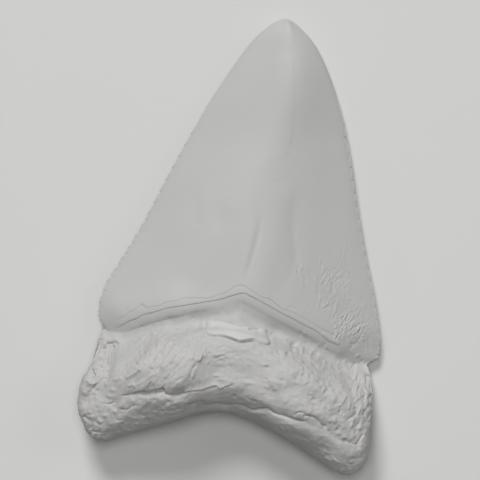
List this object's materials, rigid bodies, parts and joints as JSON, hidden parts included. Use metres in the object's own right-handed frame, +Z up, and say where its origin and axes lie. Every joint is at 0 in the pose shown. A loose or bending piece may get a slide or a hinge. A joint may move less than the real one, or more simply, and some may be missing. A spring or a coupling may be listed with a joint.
{
  "type": "fossil megalodon tooth",
  "caption": "Broad serrated triangular shark tooth, fossilised, with a smooth enamel crown and a rough two-lobed root.",
  "frame": {"origin": "middle of the tooth's box, on the surface that it lies on", "axes": "+Y from the root to the tip, +X to the right seen from above with the tip away, +Z up, out of the lingual face"},
  "size_m": [0.0664, 0.1009, 0.0195],
  "materials": {
    "fossil_tooth": "matte grey mineral, satin on the enamel and rough on the root"
  },
  "bodies": {
    "root": {"tooth": "fossil_tooth"}
  },
  "joints": []
}
